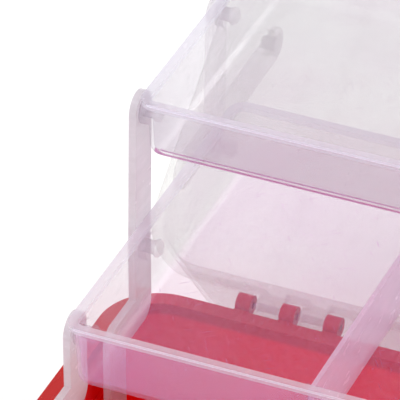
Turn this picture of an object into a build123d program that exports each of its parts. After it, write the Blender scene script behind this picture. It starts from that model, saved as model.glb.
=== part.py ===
"""Cantilever sewing box: red base, clear lid and two clear trays on swinging arms, shown open."""

import os
from math import atan2, cos, degrees, hypot, radians, sin, tan

from build123d import *

# ---------------------------------------------------------------- driving dimensions (mm)
# The box stands on Z = 0 with its centre at the origin. +X is along the box, -Y is its front.
BOX_LENGTH = 278.0
BOX_DEPTH = 160.0
BOX_CORNER = 20.0
RIM_WIDTH = 3.0
RIM_THICK = 2.4

BASE_HEIGHT = 65.0
BASE_WALL = 2.6
BASE_FLOOR = 4.0
BASE_EDGE = 5.0

LID_HEIGHT = 56.0
LID_WALL = 1.4
LID_EDGE = 7.0
LID_OPEN = 143.0
LID_GAP = 0.4
PLATFORM_LENGTH = 224.0
PLATFORM_DEPTH = 136.0
PLATFORM_CORNER = 12.0
PLATFORM_RISE = 4.0
PLATFORM_TAPER = 30.0

TRAY_LENGTH = 250.0
TRAY_WALL = 1.2
TRAY_CORNER = 5.6
TRAY_RIM = 1.8
TRAY_RIM_THICK = 1.7
TRAY_EDGE = 5.0
TRAY_TAPER = 2.5
LOWER_HEIGHT = 24.2
LOWER_DEPTH = 133.0
UPPER_HEIGHT = 21.5
UPPER_DEPTH = 107.0

# Trays in their open places: front edge of the rim, and top of the rim.
LOWER_FRONT = 3.0
LOWER_TOP = 104.2
UPPER_FRONT = 58.3
UPPER_TOP = 151.2

# Pivots, measured back from each tray's front edge and down from its rim.
LOWER_DROP = 10.5
UPPER_DROP = 7.5
LOWER_PIVOTS = (13.0, 61.5, 120.5)
UPPER_PIVOTS = (8.0, 67.0)
ARM_REACH = (20.0, 68.0)
ARM_ELBOW_DROP = 24.0
LINK_PIVOT = (182.0, 96.0)
LINK_LENGTH = 75.0
LINK_SLOT = 56.0
LINK_PLAY = 0.3

# Layers outside the trays' ends, measured out from the middle of the box.
ARM_WIDTH = 12.0
ARM_IN = TRAY_LENGTH / 2 + 0.8
ARM_OUT = ARM_IN + 2.4
LINK_IN = ARM_OUT + 1.4
LINK_OUT = LINK_IN + 2.0

SHANK = 2.25
RUN_FIT = 0.08
SIDE_GAP = 0.15
BOSS = 4.5
BOSS_ROOT = 1.0
HEAD = 4.0
HEAD_THICK = 0.6
DOME = 3.0
DOME_HEIGHT = 1.8
DOME_EDGE = 1.5
DOME_GAP = 0.9

HINGE_OUT = 3.9
HINGE_UP = 0.2
KNUCKLE = 3.2
KNUCKLE_WIDTH = 5.0
BARREL_WIDTH = 7.0
KNUCKLE_PITCH = 15.0
KNUCKLE_MIDDLE = 84.0
KNUCKLE_ROOT = 5.0
HINGE_PIN = 1.2

DIVIDER_MIDDLE = 45.5
DIVIDER_THICK = 1.5
DIVIDER_HEIGHT = 22.3
DIVIDER_PLAY = 0.25
GUIDE_WIDTH = 1.2
GUIDE_DEPTH = 3.0
GUIDE_ROOT = 0.1

HANDLE_SPAN = 104.0
HANDLE_REACH = 38.0
HANDLE_BAR = 12.0
HANDLE_THICK = 7.0
HANDLE_PEG = 2.4
HANDLE_PEG_ROOT = 1.0
HANDLE_EDGE = 1.6
HANDLE_HEEL = 3.0
HANDLE_CORNER = 8.0
HANDLE_BACK = 17.0
EAR_THICK = 5.0
EAR = 4.6
EAR_RISE = 4.9

LATCH_WIDTH = 44.0
LATCH_SWING = 40.0
LATCH_OUT = 3.0
LATCH_UP = 9.0
LATCH_BARREL = 2.6
LATCH_PLATE = 2.2
LATCH_DROP = 16.0
LATCH_HOOK = 3.2
LATCH_PLAY = 1.2

# ---------------------------------------------------------------- places worked out from them
REAR = BOX_DEPTH / 2
HINGE_Y = REAR + HINGE_OUT
HINGE_Z = BASE_HEIGHT + HINGE_UP
SIDES = {"left": -1, "right": 1}

lower_pivots = [(LOWER_FRONT + back, LOWER_TOP - LOWER_DROP) for back in LOWER_PIVOTS]
upper_pivots = [(UPPER_FRONT + back, UPPER_TOP - UPPER_DROP) for back in UPPER_PIVOTS]
base_pivots = [(y - ARM_REACH[0], z - ARM_REACH[1]) for y, z in lower_pivots[:2]]

# The lid is drawn closed in its own frame, whose origin is on the hinge line, and stands open.
lid_swing = radians(LID_OPEN)
lid_frame = Plane(
    origin=(0, HINGE_Y, HINGE_Z), x_dir=(1, 0, 0), z_dir=(0, sin(lid_swing), cos(lid_swing))
)
LID_MIDDLE = -HINGE_OUT - REAR
LID_FRONT = -HINGE_OUT - BOX_DEPTH
LID_RIM = LID_GAP - HINGE_UP
LID_TOP = LID_RIM + LID_HEIGHT
PLATFORM_TOP = LID_TOP + PLATFORM_RISE

base_in = BOX_LENGTH / 2 - RIM_WIDTH - BASE_WALL
lid_in = BOX_LENGTH / 2 - RIM_WIDTH - LID_WALL
tray_in = TRAY_LENGTH / 2 - TRAY_RIM - TRAY_WALL

os.makedirs("parts", exist_ok=True)


def finish(part, name):
    """Name a finished piece and write it."""
    part.label = name
    export_step(part, f"parts/{name}.step")


def lid_point(x, y, z):
    """A point given in the lid's own frame."""
    return lid_frame.from_local_coords(Vector(x, y, z))


def lid_level(y, z):
    """A plane parallel to the closed lid's rim, at y and z in the lid's own frame."""
    return Plane(origin=lid_point(0, y, z), x_dir=(1, 0, 0), z_dir=lid_frame.z_dir)


def side_plane(x, y, z, along=(0, 1, 0)):
    """A plane facing +X through a point; its sketches run along the second direction."""
    return Plane(origin=(x, y, z), x_dir=along, z_dir=(1, 0, 0))


def mouth(y, z):
    """The plane of a tub's open top, facing down into it."""
    return Plane(origin=(0, y, z), x_dir=(1, 0, 0), z_dir=(0, 0, -1))


def tub(opening, length, depth, corner, height, edge, taper=0.0):
    """A rounded block that runs from its opening to a closed end with a rounded edge."""
    with BuildPart() as block:
        with BuildSketch(opening):
            RectangleRounded(length, depth, corner)
        extrude(amount=height, taper=taper)
        end = block.faces().sort_by(Axis(opening.origin, opening.z_dir))[-1]
        fillet(end.edges(), edge)
    return block.part


def post(plane, side, start, end, radius, mode=Mode.ADD):
    """A round post along X on one side, from start out to end."""
    with BuildSketch(plane.offset(side * start)) as section:
        Circle(radius)
    extrude(section.sketch, amount=side * (end - start), mode=mode)


def bar(points):
    """Round-ended bars of the arms' width along a chain of points."""
    for (y1, z1), (y2, z2) in zip(points, points[1:]):
        with Locations(((y1 + y2) / 2, (z1 + z2) / 2)):
            SlotCenterToCenter(
                hypot(y2 - y1, z2 - z1), ARM_WIDTH, rotation=degrees(atan2(z2 - z1, y2 - y1))
            )


# ---------------------------------------------------------------- base
base_block = tub(
    mouth(0, BASE_HEIGHT),
    BOX_LENGTH - 2 * RIM_WIDTH,
    BOX_DEPTH - 2 * RIM_WIDTH,
    BOX_CORNER - RIM_WIDTH,
    BASE_HEIGHT,
    BASE_EDGE,
)
base_cavity = tub(
    mouth(0, BASE_HEIGHT),
    2 * base_in,
    BOX_DEPTH - 2 * RIM_WIDTH - 2 * BASE_WALL,
    BOX_CORNER - RIM_WIDTH - BASE_WALL,
    BASE_HEIGHT - BASE_FLOOR,
    BASE_EDGE - BASE_WALL,
)

with BuildPart() as base:
    add(base_block)
    with BuildSketch(mouth(0, BASE_HEIGHT)):
        RectangleRounded(BOX_LENGTH, BOX_DEPTH, BOX_CORNER)
    extrude(amount=RIM_THICK)
    add(base_cavity, mode=Mode.SUBTRACT)
    for side in SIDES.values():
        for y, z in base_pivots:
            pivot = side_plane(0, y, z)
            post(pivot, side, ARM_OUT + SIDE_GAP, base_in + BASE_WALL / 2, BOSS)
            post(pivot, side, ARM_OUT, base_in - SIDE_GAP, SHANK, Mode.SUBTRACT)
        for step in (-1, 0, 1):
            middle = side * (KNUCKLE_MIDDLE + step * KNUCKLE_PITCH)
            with BuildSketch(side_plane(middle - KNUCKLE_WIDTH / 2, HINGE_Y, HINGE_Z)):
                Circle(KNUCKLE)
                with BuildLine():
                    Polyline(
                        (0, -HINGE_UP),
                        (-HINGE_OUT - RIM_WIDTH, -HINGE_UP),
                        (-HINGE_OUT - RIM_WIDTH, -KNUCKLE_ROOT - KNUCKLE),
                        (0, -KNUCKLE),
                        close=True,
                    )
                make_face()
                Circle(HINGE_PIN, mode=Mode.SUBTRACT)
            extrude(amount=KNUCKLE_WIDTH)
finish(base.part, "base")

# ---------------------------------------------------------------- lid
lid_block = tub(
    lid_level(LID_MIDDLE, LID_RIM),
    BOX_LENGTH - 2 * RIM_WIDTH,
    BOX_DEPTH - 2 * RIM_WIDTH,
    BOX_CORNER - RIM_WIDTH,
    LID_HEIGHT,
    LID_EDGE,
)
lid_cavity = tub(
    lid_level(LID_MIDDLE, LID_RIM),
    2 * lid_in,
    BOX_DEPTH - 2 * RIM_WIDTH - 2 * LID_WALL,
    BOX_CORNER - RIM_WIDTH - LID_WALL,
    LID_HEIGHT - LID_WALL,
    LID_EDGE - LID_WALL,
)
handle_axis = lid_point(0, LID_MIDDLE + HANDLE_BACK, PLATFORM_TOP + EAR_RISE)
ear_plane = side_plane(0, handle_axis.Y, handle_axis.Z, lid_frame.y_dir)
latch_axis = lid_point(0, LID_FRONT - LATCH_OUT, LATCH_UP)
link_plane = side_plane(0, *LINK_PIVOT)

with BuildPart() as lid:
    add(lid_block)
    with BuildSketch(lid_level(LID_MIDDLE, LID_TOP)):
        RectangleRounded(PLATFORM_LENGTH, PLATFORM_DEPTH, PLATFORM_CORNER)
    extrude(amount=PLATFORM_RISE, taper=PLATFORM_TAPER)
    with BuildSketch(lid_level(LID_MIDDLE, LID_RIM)):
        RectangleRounded(BOX_LENGTH, BOX_DEPTH, BOX_CORNER)
    extrude(amount=RIM_THICK)
    add(lid_cavity, mode=Mode.SUBTRACT)
    with BuildSketch(lid_level(LID_MIDDLE, LID_TOP - LID_WALL)):
        RectangleRounded(
            PLATFORM_LENGTH - LID_WALL, PLATFORM_DEPTH - LID_WALL, PLATFORM_CORNER - LID_WALL / 2
        )
    extrude(amount=PLATFORM_RISE, taper=PLATFORM_TAPER, mode=Mode.SUBTRACT)
    for side in SIDES.values():
        post(link_plane, side, LINK_OUT + SIDE_GAP, lid_in + LID_WALL / 2, BOSS)
        post(link_plane, side, LINK_OUT, lid_in - SIDE_GAP, SHANK, Mode.SUBTRACT)
        for step in (-1, 1):
            middle = side * KNUCKLE_MIDDLE + step * KNUCKLE_PITCH / 2
            hinge = side_plane(middle - BARREL_WIDTH / 2, HINGE_Y, HINGE_Z, lid_frame.y_dir)
            with BuildSketch(hinge):
                Circle(KNUCKLE)
                with BuildLine():
                    Polyline(
                        (0, LID_RIM),
                        (-HINGE_OUT - RIM_WIDTH, LID_RIM),
                        (-HINGE_OUT - RIM_WIDTH, KNUCKLE + KNUCKLE_ROOT),
                        (0, KNUCKLE),
                        close=True,
                    )
                make_face()
                Circle(HINGE_PIN + RUN_FIT, mode=Mode.SUBTRACT)
            extrude(amount=BARREL_WIDTH)
        with BuildSketch(ear_plane.offset(side * (HANDLE_SPAN / 2 + LID_GAP))):
            Circle(EAR)
            with Locations((0, -EAR_RISE / 2)):
                Rectangle(2 * EAR, EAR_RISE)
            Circle(HANDLE_PEG + RUN_FIT, mode=Mode.SUBTRACT)
        extrude(amount=side * EAR_THICK)
        latch_ear = side_plane(0, latch_axis.Y, latch_axis.Z, lid_frame.y_dir)
        with BuildSketch(latch_ear.offset(side * (LATCH_WIDTH / 2 + LID_GAP))):
            Circle(LATCH_BARREL)
            with Locations(((LATCH_OUT + RIM_WIDTH) / 2, 0)):
                Rectangle(LATCH_OUT + RIM_WIDTH + LID_WALL / 2, 2 * LATCH_BARREL)
            Circle(HINGE_PIN, mode=Mode.SUBTRACT)
        extrude(amount=side * EAR_THICK)
finish(lid.part, "lid")

# ---------------------------------------------------------------- trays
# Pairs of small guides hold the lower tray's dividers against its front and rear walls.
divider_places = [side * DIVIDER_MIDDLE for side in SIDES.values()]
guide_x = DIVIDER_THICK / 2 + DIVIDER_PLAY + GUIDE_WIDTH / 2
guide_y = LOWER_DEPTH / 2 - TRAY_RIM - TRAY_WALL + GUIDE_ROOT - GUIDE_DEPTH / 2
guide_spots = [
    (place + sign * guide_x, end * guide_y)
    for place in divider_places
    for sign in (-1, 1)
    for end in (-1, 1)
]

with BuildPart() as guides:
    with BuildSketch(mouth(LOWER_FRONT + LOWER_DEPTH / 2, LOWER_TOP - LOWER_HEIGHT + DIVIDER_HEIGHT)):
        with Locations(*guide_spots):
            Rectangle(GUIDE_WIDTH, GUIDE_DEPTH)
    extrude(amount=DIVIDER_HEIGHT - TRAY_WALL)

trays = {
    "lower_tray": (LOWER_FRONT, LOWER_TOP, LOWER_DEPTH, LOWER_HEIGHT, lower_pivots, [guides.part]),
    "upper_tray": (UPPER_FRONT, UPPER_TOP, UPPER_DEPTH, UPPER_HEIGHT, upper_pivots, []),
}

for name, (front, top, depth, height, pivots, extras) in trays.items():
    opening = mouth(front + depth / 2, top)
    outside = tub(
        opening,
        TRAY_LENGTH - 2 * TRAY_RIM,
        depth - 2 * TRAY_RIM,
        TRAY_CORNER - TRAY_RIM,
        height,
        TRAY_EDGE,
        TRAY_TAPER,
    )
    inside = tub(
        opening,
        2 * tray_in,
        depth - 2 * TRAY_RIM - 2 * TRAY_WALL,
        TRAY_CORNER - TRAY_RIM - TRAY_WALL,
        height - TRAY_WALL,
        TRAY_EDGE - TRAY_WALL,
        TRAY_TAPER,
    )
    with BuildPart() as tray:
        add(outside)
        with BuildSketch(opening):
            RectangleRounded(TRAY_LENGTH, depth, TRAY_CORNER)
        extrude(amount=TRAY_RIM_THICK)
        add(inside, mode=Mode.SUBTRACT)
        for extra in extras:
            add(extra)
        for side in SIDES.values():
            for y, z in pivots:
                pivot = side_plane(0, y, z)
                post(pivot, side, tray_in + TRAY_WALL / 4, ARM_IN - SIDE_GAP, BOSS)
                post(pivot, side, tray_in - BOSS_ROOT, ARM_IN, SHANK, Mode.SUBTRACT)
    finish(tray.part, name)

    # Pivot rivets: a domed head inside the tray, a shank through wall and arm, a flat head outside.
    for word, side in SIDES.items():
        with BuildPart() as rivets:
            for y, z in pivots:
                pivot = side_plane(0, y, z)
                post(pivot, side, tray_in - DOME_GAP, ARM_OUT + SIDE_GAP, SHANK)
                post(pivot, side, ARM_OUT + SIDE_GAP, ARM_OUT + SIDE_GAP + HEAD_THICK, HEAD)
                post(pivot, side, tray_in - DOME_GAP - DOME_HEIGHT, tray_in - DOME_GAP, DOME)
            tips = rivets.faces().filter_by(Axis.X).group_by(Axis.X)[0 if side > 0 else -1]
            fillet([edge for tip in tips for edge in tip.edges()], DOME_EDGE)
        finish(rivets.part, f"{name}_rivets_{word}")

# ---------------------------------------------------------------- dividers of the lower tray
lower_middle = LOWER_FRONT + LOWER_DEPTH / 2
divider_bottom = LOWER_TOP - LOWER_HEIGHT + TRAY_WALL
divider_top = divider_bottom + DIVIDER_HEIGHT - TRAY_WALL
half_depth = LOWER_DEPTH / 2 - TRAY_RIM - TRAY_WALL - DIVIDER_PLAY
lean = tan(radians(TRAY_TAPER))
bottom_half = half_depth - lean * LOWER_HEIGHT
top_half = half_depth - lean * (LOWER_HEIGHT - DIVIDER_HEIGHT)

for place, word in zip(divider_places, SIDES):
    with BuildPart() as divider:
        with BuildSketch(side_plane(place - DIVIDER_THICK / 2, lower_middle, divider_bottom)):
            with BuildLine():
                Polyline(
                    (-bottom_half, 0),
                    (bottom_half, 0),
                    (top_half, divider_top - divider_bottom),
                    (-top_half, divider_top - divider_bottom),
                    close=True,
                )
            make_face()
            fillet(vertices().group_by(Axis.Y)[0], TRAY_EDGE - TRAY_WALL)
        extrude(amount=DIVIDER_THICK)
    finish(divider.part, f"lower_tray_divider_{word}")

# ---------------------------------------------------------------- arms
def elbowed(pivot, foot):
    """Centre line of a swinging arm: down from a tray pivot, forward, and down to the base."""
    elbow = pivot[1] - ARM_ELBOW_DROP
    return [pivot, (pivot[0], elbow), (foot[0], elbow), foot]


arms = {
    "front_arm": (elbowed(lower_pivots[0], base_pivots[0]), []),
    "long_arm": ([upper_pivots[0]] + elbowed(lower_pivots[1], base_pivots[1]), [lower_pivots[1]]),
    "rear_arm": ([upper_pivots[1], lower_pivots[2]], []),
}

for name, (centre_line, middle_holes) in arms.items():
    for word, side in SIDES.items():
        with BuildPart() as arm:
            with BuildSketch(side_plane(side * ARM_IN, 0, 0)):
                bar(centre_line)
                with Locations(centre_line[0], centre_line[-1], *middle_holes):
                    Circle(SHANK + RUN_FIT, mode=Mode.SUBTRACT)
            extrude(amount=side * (ARM_OUT - ARM_IN))
        finish(arm.part, f"{name}_{word}")

# Rivets of the two base pivots: a shank pressed in the base's boss, a flat head inside the arm.
for word, side in SIDES.items():
    with BuildPart() as rivets:
        for y, z in base_pivots:
            pivot = side_plane(0, y, z)
            post(pivot, side, ARM_IN - SIDE_GAP, base_in - SIDE_GAP, SHANK)
            post(pivot, side, ARM_IN - HEAD_THICK, ARM_IN - SIDE_GAP, HEAD)
    finish(rivets.part, f"base_rivets_{word}")

# ---------------------------------------------------------------- lid links
link_tip = lower_pivots[2]
link_angle = degrees(atan2(link_tip[1] - LINK_PIVOT[1], link_tip[0] - LINK_PIVOT[0]))

for word, side in SIDES.items():
    link_run = (cos(radians(link_angle)), sin(radians(link_angle)))
    with BuildPart() as link:
        along = Vector(0, *link_run)
        with BuildSketch(side_plane(side * LINK_IN, *LINK_PIVOT, along)):
            with Locations((LINK_LENGTH / 2, 0)):
                SlotCenterToCenter(LINK_LENGTH, ARM_WIDTH)
            Circle(SHANK + RUN_FIT, mode=Mode.SUBTRACT)
            with Locations(((LINK_SLOT + LINK_LENGTH) / 2, 0)):
                SlotCenterToCenter(LINK_LENGTH - LINK_SLOT, 2 * (SHANK + LINK_PLAY), mode=Mode.SUBTRACT)
        extrude(amount=side * (LINK_OUT - LINK_IN))
    finish(link.part, f"lid_link_{word}")
    with BuildPart() as rivet:
        post(link_plane, side, LINK_IN - SIDE_GAP, lid_in - SIDE_GAP, SHANK)
        post(link_plane, side, LINK_IN - HEAD_THICK, LINK_IN - SIDE_GAP, HEAD)
    finish(rivet.part, f"lid_rivet_{word}")

    # A steel pin through one group of hinge knuckles.
    with BuildPart() as pin:
        reach = KNUCKLE_PITCH + KNUCKLE_WIDTH / 2
        hinge = side_plane(0, HINGE_Y, HINGE_Z)
        post(hinge, side, KNUCKLE_MIDDLE - reach, KNUCKLE_MIDDLE + reach, HINGE_PIN)
    finish(pin.part, f"hinge_pin_{word}")

# ---------------------------------------------------------------- handle
with BuildPart() as handle:
    axis_y = LID_MIDDLE + HANDLE_BACK
    axis_z = PLATFORM_TOP + EAR_RISE
    with BuildSketch(lid_level(axis_y, axis_z - HANDLE_THICK / 2)):
        with BuildLine():
            Polyline(
                (-HANDLE_SPAN / 2, HANDLE_HEEL),
                (-HANDLE_SPAN / 2, -HANDLE_REACH),
                (HANDLE_SPAN / 2, -HANDLE_REACH),
                (HANDLE_SPAN / 2, HANDLE_HEEL),
                (HANDLE_SPAN / 2 - HANDLE_BAR, HANDLE_HEEL),
                (HANDLE_SPAN / 2 - HANDLE_BAR, HANDLE_BAR - HANDLE_REACH),
                (HANDLE_BAR - HANDLE_SPAN / 2, HANDLE_BAR - HANDLE_REACH),
                (HANDLE_BAR - HANDLE_SPAN / 2, HANDLE_HEEL),
                close=True,
            )
        make_face()
        fillet(vertices().group_by(Axis.Y)[0], HANDLE_CORNER)
        fillet(vertices().group_by(Axis.Y)[-2], HANDLE_CORNER / 2)
    extrude(amount=HANDLE_THICK)
    fillet(handle.faces().filter_by(lid_level(0, 0)).edges(), HANDLE_EDGE)
    for side in SIDES.values():
        post(ear_plane, side, HANDLE_SPAN / 2 - HANDLE_PEG_ROOT, HANDLE_SPAN / 2 + EAR_THICK, HANDLE_PEG)
finish(handle.part, "handle")

# ---------------------------------------------------------------- latch
latch_swing = radians(LID_OPEN + LATCH_SWING)
latch_along = (0, cos(latch_swing), -sin(latch_swing))
latch_plane = side_plane(-LATCH_WIDTH / 2, latch_axis.Y, latch_axis.Z, latch_along)
HOOK_TOP = -LATCH_UP - (RIM_THICK - LID_RIM + LATCH_PLAY)

with BuildPart() as latch:
    with BuildSketch(latch_plane):
        Circle(LATCH_BARREL)
        with Locations((-LATCH_PLATE / 2, -LATCH_DROP / 2)):
            Rectangle(LATCH_PLATE, LATCH_DROP)
        with Locations((LATCH_HOOK / 2, (HOOK_TOP - LATCH_DROP) / 2)):
            Rectangle(LATCH_HOOK, LATCH_DROP + HOOK_TOP)
        Circle(HINGE_PIN + RUN_FIT, mode=Mode.SUBTRACT)
    extrude(amount=LATCH_WIDTH)
finish(latch.part, "latch")

with BuildPart() as latch_pin:
    for side in SIDES.values():
        reach = LATCH_WIDTH / 2 + LID_GAP + EAR_THICK
        post(side_plane(0, latch_axis.Y, latch_axis.Z), side, 0, reach, HINGE_PIN)
finish(latch_pin.part, "latch_pin")
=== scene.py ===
"""The looks of the cantilever sewing box: clear lilac trays and lid over a red base."""

import math

import bpy
from mathutils import Matrix, Vector


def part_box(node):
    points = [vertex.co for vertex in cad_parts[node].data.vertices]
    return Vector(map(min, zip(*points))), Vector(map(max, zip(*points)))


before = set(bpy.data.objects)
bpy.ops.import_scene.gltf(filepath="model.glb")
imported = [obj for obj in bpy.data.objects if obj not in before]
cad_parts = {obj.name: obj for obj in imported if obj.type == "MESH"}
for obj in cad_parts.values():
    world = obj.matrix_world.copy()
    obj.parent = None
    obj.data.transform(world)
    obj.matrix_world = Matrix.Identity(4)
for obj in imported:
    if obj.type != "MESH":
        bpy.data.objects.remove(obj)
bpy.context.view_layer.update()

MM = 0.001

# ---------------------------------------------------------------- places (mm)


def box_mm(node):
    """A CAD node's lowest and highest corners, in millimetres."""
    low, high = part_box(node)
    return low / MM, high / MM


BOX_HALF = (139.0, 80.0)
BASE_TOP = 65.0
WALL_DEPTH = 4.0


# ---------------------------------------------------------------- materials
GREY_LILAC = (0.84, 0.79, 0.86)
# Pale rim colour: the denser plastic of the rims, lightened as a painted highlight.
RIM_PALE_AND_HIGHLIGHT = (0.9, 0.88, 0.98)
LILAC = (0.84, 0.68, 0.86)
# Rose tint of the lower tray: partly its random tone, partly painted red light bouncing up from the base.
ROSE_TONE_AND_RED_BOUNCE = (0.98, 0.5, 1.0)
LILAC_EDGE = (0.66, 0.2, 0.56)
PALE = (0.85, 0.815, 0.85)
DIVIDER_LILAC = (0.9, 0.74, 0.9)


def new_material(name):
    material = bpy.data.materials.new(name)
    material.use_nodes = True
    nodes, links = material.node_tree.nodes, material.node_tree.links
    return material, nodes, links, nodes["Principled BSDF"]


def noise(nodes, links, coords, scale, detail=3.0, stretch=(1, 1, 1)):
    """A noise texture in the piece's own space, in metres, optionally stretched."""
    mapping = nodes.new("ShaderNodeMapping")
    mapping.inputs["Scale"].default_value = stretch
    links.new(coords, mapping.inputs["Vector"])
    texture = nodes.new("ShaderNodeTexNoise")
    texture.inputs["Scale"].default_value = scale
    texture.inputs["Detail"].default_value = detail
    links.new(mapping.outputs["Vector"], texture.inputs["Vector"])
    return texture.outputs["Fac"]


def scratches(nodes, links, coords, angle):
    """Noise drawn out into long hairlines lying at an angle to the piece."""
    mapping = nodes.new("ShaderNodeMapping")
    mapping.vector_type = "TEXTURE"
    mapping.inputs["Rotation"].default_value = (0, 0, angle)
    mapping.inputs["Scale"].default_value = (1, 22, 1)
    links.new(coords, mapping.inputs["Vector"])
    texture = nodes.new("ShaderNodeTexNoise")
    texture.inputs["Scale"].default_value = 2200
    texture.inputs["Detail"].default_value = 1
    links.new(mapping.outputs["Vector"], texture.inputs["Vector"])
    return texture.outputs["Fac"]


def remap(nodes, links, value, low, high, to_low, to_high):
    node = nodes.new("ShaderNodeMapRange")
    node.interpolation_type = "SMOOTHSTEP"
    for slot, number in zip(("From Min", "From Max", "To Min", "To Max"), (low, high, to_low, to_high)):
        node.inputs[slot].default_value = number
    links.new(value, node.inputs["Value"])
    return node.outputs["Result"]


def mix_colour(nodes, links, factor, first, second):
    node = nodes.new("ShaderNodeMix")
    node.data_type = "RGBA"
    for slot, value in (("A", first), ("B", second)):
        socket = [s for s in node.inputs if s.name == slot and s.type == "RGBA"][0]
        if isinstance(value, tuple):
            socket.default_value = (*value, 1)
        else:
            links.new(value, socket)
    links.new(factor, node.inputs["Factor"])
    return [s for s in node.outputs if s.type == "RGBA"][0]


def maths(nodes, links, operation, first, second):
    node = nodes.new("ShaderNodeMath")
    node.operation = operation
    node.use_clamp = True
    for socket, value in zip(node.inputs, (first, second)):
        if isinstance(value, (int, float)):
            socket.default_value = value
        else:
            links.new(value, socket)
    return node.outputs["Value"]


def shader_mix(nodes, links, factor, first, second):
    node = nodes.new("ShaderNodeMixShader")
    if isinstance(factor, (int, float)):
        node.inputs[0].default_value = factor
    else:
        links.new(factor, node.inputs[0])
    links.new(first, node.inputs[1])
    links.new(second, node.inputs[2])
    return node.outputs[0]


def clear_plastic(name, haze, colour, edge_colour, bands=(), passing=(0.978, 0.975, 0.979), through=0.6):
    """Hazy see-through polypropylene.

    Haze is the share of light that each surface stops, and passing is the tint of the rest. Through is how
    much of the stopped light glows out of the far side. Bands are where thick plastic looks denser, and
    bands with a depth below zero also take a painted highlight in the pale rim colour.
    """
    material, nodes, links, shader = new_material(name)
    coords = nodes.new("ShaderNodeTexCoord").outputs["Object"]
    cloud = remap(nodes, links, noise(nodes, links, coords, 22, 3), 0.3, 0.7, 0.85, 1.15)
    streaks = remap(nodes, links, noise(nodes, links, coords, 60, 3, (1, 1, 6)), 0.35, 0.65, 0.97, 1.03)
    alpha = maths(nodes, links, "MULTIPLY", maths(nodes, links, "MULTIPLY", cloud, haze), streaks)
    tint = remap(nodes, links, noise(nodes, links, coords, 30, 2), 0.35, 0.65, 0.0, 0.2)
    place = nodes.new("ShaderNodeSeparateXYZ")
    links.new(coords, place.inputs["Vector"])
    shade = colour
    for (front, low), (back, high), soft, dense, deep in bands:
        band = 1.0
        for axis, start, stop in (("Y", front, back), ("Z", low, high)):
            rise = remap(nodes, links, place.outputs[axis], (start - soft) * MM, (start + soft) * MM, 0, 1)
            fall = remap(nodes, links, place.outputs[axis], (stop - soft) * MM, (stop + soft) * MM, 1, 0)
            band = maths(nodes, links, "MULTIPLY", maths(nodes, links, "MULTIPLY", rise, fall), band)
        alpha = maths(nodes, links, "ADD", alpha, maths(nodes, links, "MULTIPLY", band, dense))
        # Painted highlight: a depth below zero pulls the colour towards the pale rim colour.
        if deep < 0:
            shade = mix_colour(nodes, links, band, shade, RIM_PALE_AND_HIGHLIGHT)
            tint = maths(nodes, links, "SUBTRACT", tint, band)
        else:
            tint = maths(nodes, links, "ADD", tint, maths(nodes, links, "MULTIPLY", band, deep))
    specks = remap(nodes, links, noise(nodes, links, coords, 1100, 1), 0.77, 0.8, 0, 0.35)
    alpha = maths(nodes, links, "ADD", alpha, specks)
    for angle in (0.6, -0.9):
        hair = scratches(nodes, links, coords, angle)
        alpha = maths(nodes, links, "ADD", alpha, remap(nodes, links, hair, 0.74, 0.78, 0, 0.2))
    shade = mix_colour(nodes, links, tint, shade, edge_colour)
    links.new(shade, shader.inputs["Base Color"])
    scuffs = noise(nodes, links, coords, 420, 6, (1, 0.25, 1))
    rough = remap(nodes, links, scuffs, 0.35, 0.75, 0.14, 0.3)
    links.new(rough, shader.inputs["Roughness"])
    shader.inputs["IOR"].default_value = 1.49
    bump = nodes.new("ShaderNodeBump")
    bump.inputs["Strength"].default_value = 0.05
    bump.inputs["Distance"].default_value = 0.0005
    links.new(noise(nodes, links, coords, 30, 2), bump.inputs["Height"])
    links.new(bump.outputs["Normal"], shader.inputs["Normal"])
    glow = nodes.new("ShaderNodeBsdfTranslucent")
    links.new(shade, glow.inputs["Color"])
    clear = nodes.new("ShaderNodeBsdfTransparent")
    clear.inputs["Color"].default_value = (*passing, 1)
    gloss = nodes.new("ShaderNodeBsdfGlossy")
    links.new(rough, gloss.inputs["Roughness"])
    links.new(bump.outputs["Normal"], gloss.inputs["Normal"])
    facing = nodes.new("ShaderNodeLayerWeight")
    facing.inputs["Blend"].default_value = 0.5
    glance = maths(nodes, links, "POWER", facing.outputs["Facing"], 4.0)
    glance = maths(nodes, links, "ADD", maths(nodes, links, "MULTIPLY", glance, 0.5), 0.025)
    milk = shader_mix(nodes, links, through, shader.outputs["BSDF"], glow.outputs["BSDF"])
    hazy = shader_mix(nodes, links, alpha, clear.outputs["BSDF"], milk)
    surface = shader_mix(nodes, links, glance, hazy, gloss.outputs["BSDF"])
    output = [n for n in nodes if n.type == "OUTPUT_MATERIAL"][0]
    links.new(surface, output.inputs["Surface"])
    return material


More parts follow.
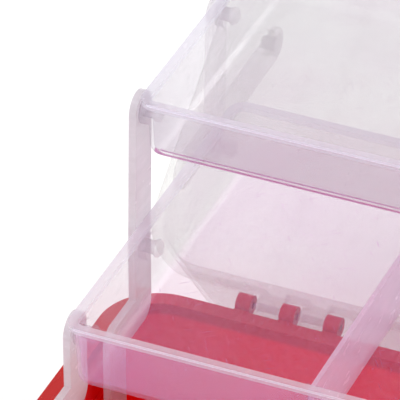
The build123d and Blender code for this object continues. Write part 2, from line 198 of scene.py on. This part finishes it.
def red_plastic():
    """Glossy red polypropylene with faint flow marks, fine scratches, a few pale specks and a painted lift
    of its shaded inside.
    """
    material, nodes, links, shader = new_material("red_gloss")
    coords = nodes.new("ShaderNodeTexCoord").outputs["Object"]
    flow = remap(nodes, links, noise(nodes, links, coords, 14, 4), 0.3, 0.7, 0, 1)
    body = mix_colour(nodes, links, flow, (0.8, 0.001, 0.002), (0.86, 0.002, 0.003))
    place = nodes.new("ShaderNodeSeparateXYZ")
    links.new(coords, place.inputs["Vector"])
    # Painted light: below the rim and inside the walls the red is painted brighter, lifting the shade
    # inside the base; the rim and outer walls keep the darker red.
    rim_and_outside_unlifted = remap(nodes, links, place.outputs["Z"], (BASE_TOP - 5) * MM, (BASE_TOP - 3) * MM, 0, 1)
    for axis, half in zip(("X", "Y"), BOX_HALF):
        away = maths(nodes, links, "ABSOLUTE", place.outputs[axis], 0)
        edge = (half - WALL_DEPTH) * MM
        rim_and_outside_unlifted = maths(nodes, links, "MAXIMUM", rim_and_outside_unlifted, remap(nodes, links, away, edge, edge + MM, 0, 1))
    body = mix_colour(nodes, links, rim_and_outside_unlifted, body, (0.5, 0.001, 0.001))
    speck = remap(nodes, links, noise(nodes, links, coords, 900, 1), 0.76, 0.8, 0, 0.5)
    links.new(mix_colour(nodes, links, speck, body, (0.85, 0.25, 0.22)), shader.inputs["Base Color"])
    wear = noise(nodes, links, coords, 260, 6, (1, 0.2, 1))
    links.new(remap(nodes, links, wear, 0.4, 0.75, 0.2, 0.42), shader.inputs["Roughness"])
    shader.inputs["Specular IOR Level"].default_value = 0.3
    shader.inputs["Coat Weight"].default_value = 0.05
    shader.inputs["Coat Roughness"].default_value = 0.1
    bump = nodes.new("ShaderNodeBump")
    bump.inputs["Strength"].default_value = 0.15
    bump.inputs["Distance"].default_value = 0.0004
    links.new(noise(nodes, links, coords, 55, 3), bump.inputs["Height"])
    links.new(bump.outputs["Normal"], shader.inputs["Normal"])
    return material


def steel():
    """Drawn wire: grey, with fine lengthwise marks."""
    material, nodes, links, shader = new_material("steel_wire")
    coords = nodes.new("ShaderNodeTexCoord").outputs["Object"]
    drawn = noise(nodes, links, coords, 900, 4, (0.05, 1, 1))
    grey = mix_colour(nodes, links, drawn, (0.42, 0.42, 0.44), (0.68, 0.68, 0.7))
    links.new(grey, shader.inputs["Base Color"])
    links.new(remap(nodes, links, drawn, 0.3, 0.7, 0.22, 0.45), shader.inputs["Roughness"])
    shader.inputs["Metallic"].default_value = 1.0
    return material


EVERYWHERE = 500
SPARE = 2.0
RIM_LIP, RIM_HEIGHT = 1.8, 1.7
FLOOR_TOP = 1.6
lower_low, lower_high = box_mm("lower_tray")
upper_low, upper_high = box_mm("upper_tray")


def region(front, low, back, high, soft, dense, deep):
    """Part of a piece, by its place across and up in mm, with its added density and depth of colour.

    A depth below zero pulls the region towards the pale rim colour instead, a painted highlight.
    """
    return (front, low), (back, high), soft, dense, deep


# The rim band: denser plastic in the pale rim colour, a painted highlight.
def tray_rim_and_highlight(high, dense):
    return region(-EVERYWHERE, high.z - RIM_HEIGHT, EVERYWHERE, high.z + SPARE, 0.1, dense, -1)


def rim_edge(low, high):
    """The rim's front outer edge, which catches the light as a fine pale line."""
    return region(low.y - 1, high.z - 0.6, low.y + 0.5, high.z + 1, 0.15, 0.6, -1)


def tray_front(low, high, dense, deep):
    """The front wall, between the rim and the rounded bottom edge."""
    return region(low.y - SPARE, low.z + FLOOR_TOP, low.y + RIM_LIP + 3.7, high.z - 2, 0.4, dense, deep)


lower_bands = [
    tray_rim_and_highlight(lower_high, 0.32),
    rim_edge(lower_low, lower_high),
    # Painted light: the floor is tinted rose, standing in for red light bouncing up from the base below.
    region(-EVERYWHERE, lower_low.z - SPARE, EVERYWHERE, lower_low.z + FLOOR_TOP, 0.4, 0.03, 0.85),
    tray_front(lower_low, lower_high, 0.13, 0.5),
]
upper_bands = [
    tray_rim_and_highlight(upper_high, 0.22),
    rim_edge(upper_low, upper_high),
    tray_front(upper_low, upper_high, 0.01, 0.05),
    region(upper_low.y + 3, upper_low.z - SPARE, upper_low.y + 6.8, upper_low.z + 1.8, 0.25, 1, 0.95),
]
NEUTRAL = (0.978, 0.976, 0.977)
LID_PASSING = (0.942, 0.948, 0.932)
lower_clear = clear_plastic("clear_lower", 0.11, GREY_LILAC, ROSE_TONE_AND_RED_BOUNCE, lower_bands, (0.98, 0.974, 0.98))
upper_clear = clear_plastic("clear_upper", 0.16, GREY_LILAC, LILAC_EDGE, upper_bands, (0.94, 0.938, 0.946))
lid_clear = clear_plastic("clear_lid", 0.13, GREY_LILAC, GREY_LILAC, (), LID_PASSING)
arm_clear = clear_plastic("clear_arm", 0.9, PALE, GREY_LILAC, (), NEUTRAL, 0.65)
rear_arm_clear = clear_plastic("clear_rear_arm", 0.12, GREY_LILAC, LILAC, (), NEUTRAL)
divider_clear = clear_plastic("clear_divider", 0.6, DIVIDER_LILAC, LILAC, (), NEUTRAL)
rivet_clear = clear_plastic("clear_rivet", 0.14, GREY_LILAC, LILAC, (), NEUTRAL)
red = red_plastic()
wire = steel()

NODE_MATERIALS = {
    "lower_tray": lower_clear,
    "upper_tray": upper_clear,
    "lid": lid_clear,
    "base": red,
    "handle": red,
    "latch": red,
}
for name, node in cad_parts.items():
    if name in NODE_MATERIALS:
        material = NODE_MATERIALS[name]
    elif name == "latch_pin":
        material = wire
    elif "divider" in name:
        material = divider_clear
    elif "rivet" in name or "hinge_pin" in name:
        material = rivet_clear
    elif "rear_arm" in name or "link" in name:
        material = rear_arm_clear
    else:
        material = arm_clear
    node.data.materials.clear()
    node.data.materials.append(material)

# ---------------------------------------------------------------- floor, light and camera
floor_mesh = bpy.data.meshes.new("floor")
FLOOR_HALF = 12.0
corners = [(x * FLOOR_HALF, y * FLOOR_HALF, 0) for x, y in ((-1, -1), (1, -1), (1, 1), (-1, 1))]
floor_mesh.from_pydata(corners, [], [(0, 1, 2, 3)])
floor = bpy.data.objects.new("floor", floor_mesh)
bpy.context.scene.collection.objects.link(floor)
floor_material, nodes, links, shader = new_material("floor_white")
shader.inputs["Base Color"].default_value = (0.95, 0.95, 0.955, 1)
shader.inputs["Roughness"].default_value = 0.9
floor_mesh.materials.append(floor_material)

scene = bpy.context.scene
world = bpy.data.worlds.new("studio")
world.use_nodes = True
world.node_tree.nodes["Background"].inputs["Color"].default_value = (1, 1, 1, 1)
world.node_tree.nodes["Background"].inputs["Strength"].default_value = 0.9
scene.world = world
scene.view_settings.view_transform = "Standard"
scene.cycles.transparent_max_bounces = 40


def area_light(name, place, aim, size, power):
    light = bpy.data.lights.new(name, "AREA")
    light.size = size
    light.energy = power
    lamp = bpy.data.objects.new(name, light)
    scene.collection.objects.link(lamp)
    lamp.location = place
    lamp.rotation_euler = (Vector(aim) - Vector(place)).to_track_quat("-Z", "Y").to_euler()


CENTRE = (0, 0.05, 0.08)
area_light("softbox_left", (-1.1, -0.5, 1.3), CENTRE, 0.8, 8)
area_light("softbox_back", (0.5, 1.5, 1.2), CENTRE, 1.0, 10)

AZIMUTH, ELEVATION, ROLL = math.radians(23.4756), math.radians(35.3726), math.radians(-0.1641)
DISTANCE = 1.401268
FOCAL_PIXELS, FRAME_PIXELS, SENSOR = 4601.457, 400, 36.0
AIM = Vector((-0.060, 0.050, 0.100))
SLIDE = (-0.036812, 0.031424)
level_back = Vector((math.sin(AZIMUTH), -math.cos(AZIMUTH), 0))
back = level_back * math.cos(ELEVATION) + Vector((0, 0, math.sin(ELEVATION)))
level_right = Vector((math.cos(AZIMUTH), math.sin(AZIMUTH), 0))
level_up = back.cross(level_right)
right = level_right * math.cos(ROLL) + level_up * math.sin(ROLL)
up = level_up * math.cos(ROLL) - level_right * math.sin(ROLL)
camera_data = bpy.data.cameras.new("camera")
camera_data.sensor_width = SENSOR
camera_data.lens = FOCAL_PIXELS / FRAME_PIXELS * SENSOR
camera_data.clip_end = 50
camera = bpy.data.objects.new("camera", camera_data)
scene.collection.objects.link(camera)
turn = Matrix((right, up, back)).transposed().to_4x4()
camera.matrix_world = Matrix.Translation(AIM + back * DISTANCE + right * SLIDE[0] + up * SLIDE[1]) @ turn
scene.camera = camera
